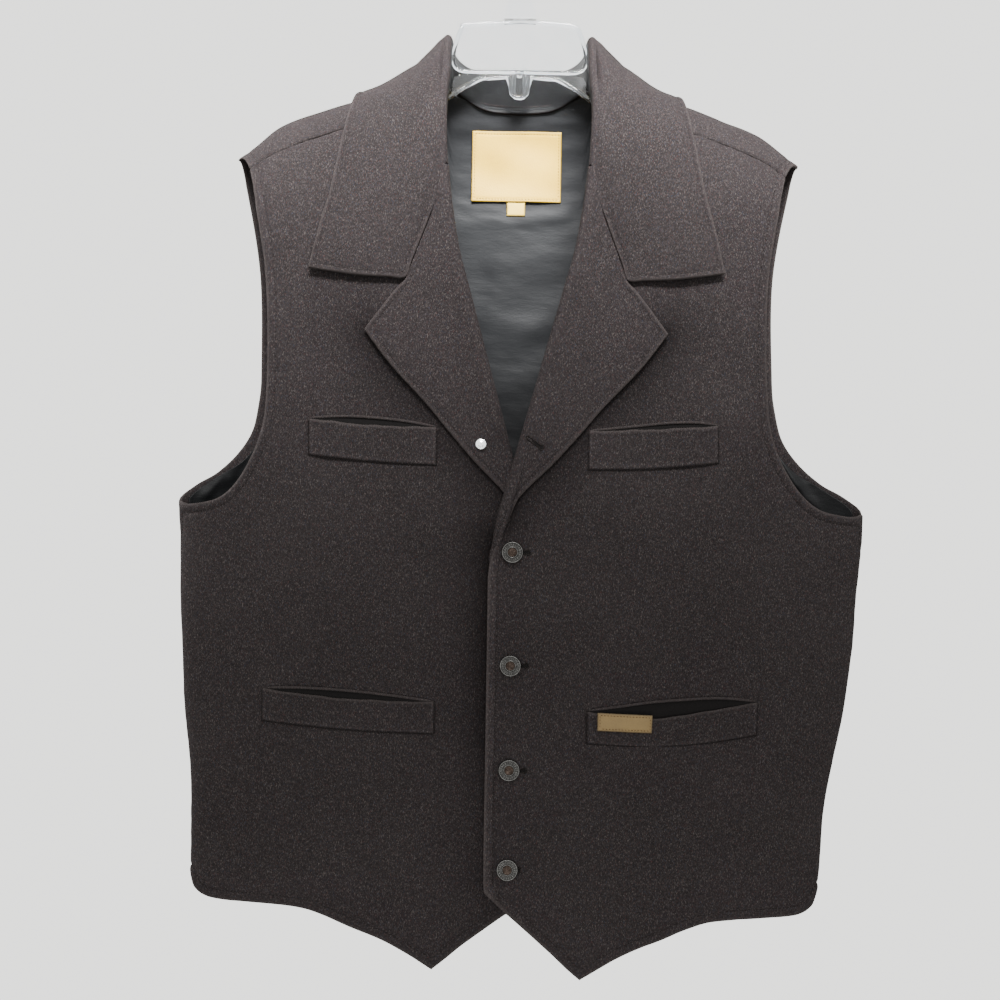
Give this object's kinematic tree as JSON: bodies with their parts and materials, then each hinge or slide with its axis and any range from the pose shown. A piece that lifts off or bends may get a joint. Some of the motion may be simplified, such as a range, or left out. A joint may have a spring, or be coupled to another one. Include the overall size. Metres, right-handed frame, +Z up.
{
  "type": "western vest on a clothes hanger",
  "caption": "Wool western vest with notched collar, lapels and welt pockets, buttoned and hanging on a clear hanger.",
  "frame": {"origin": "inside top of the hanger's hook, where a rail carries it", "axes": "+Z up, -Y the way the vest's front faces, +X the wearer's left"},
  "size_m": [0.564, 0.1091, 0.8537],
  "materials": {
    "wool": "matte",
    "lining": "satin",
    "leather": "matte",
    "tab": "matte",
    "pewter": "satin",
    "stud": "polished",
    "clear": "gloss",
    "steel": "polished"
  },
  "bodies": {
    "root": {"back": "wool", "back_lining": "lining", "button_1": "pewter", "button_2": "pewter", "button_3": "pewter", "button_4": "pewter", "collar": "wool", "front_left": "wool", "front_right": "wool", "hanger": "clear", "hanger_hook": "steel", "hanger_marker": "clear", "lapel_left": "wool", "lapel_right": "wool", "lapel_stud": "stud", "neck_label": "leather", "pocket_label": "leather", "size_tab": "tab", "welt_lower_left": "wool", "welt_lower_right": "wool", "welt_upper_left": "wool", "welt_upper_right": "wool"}
  },
  "joints": []
}
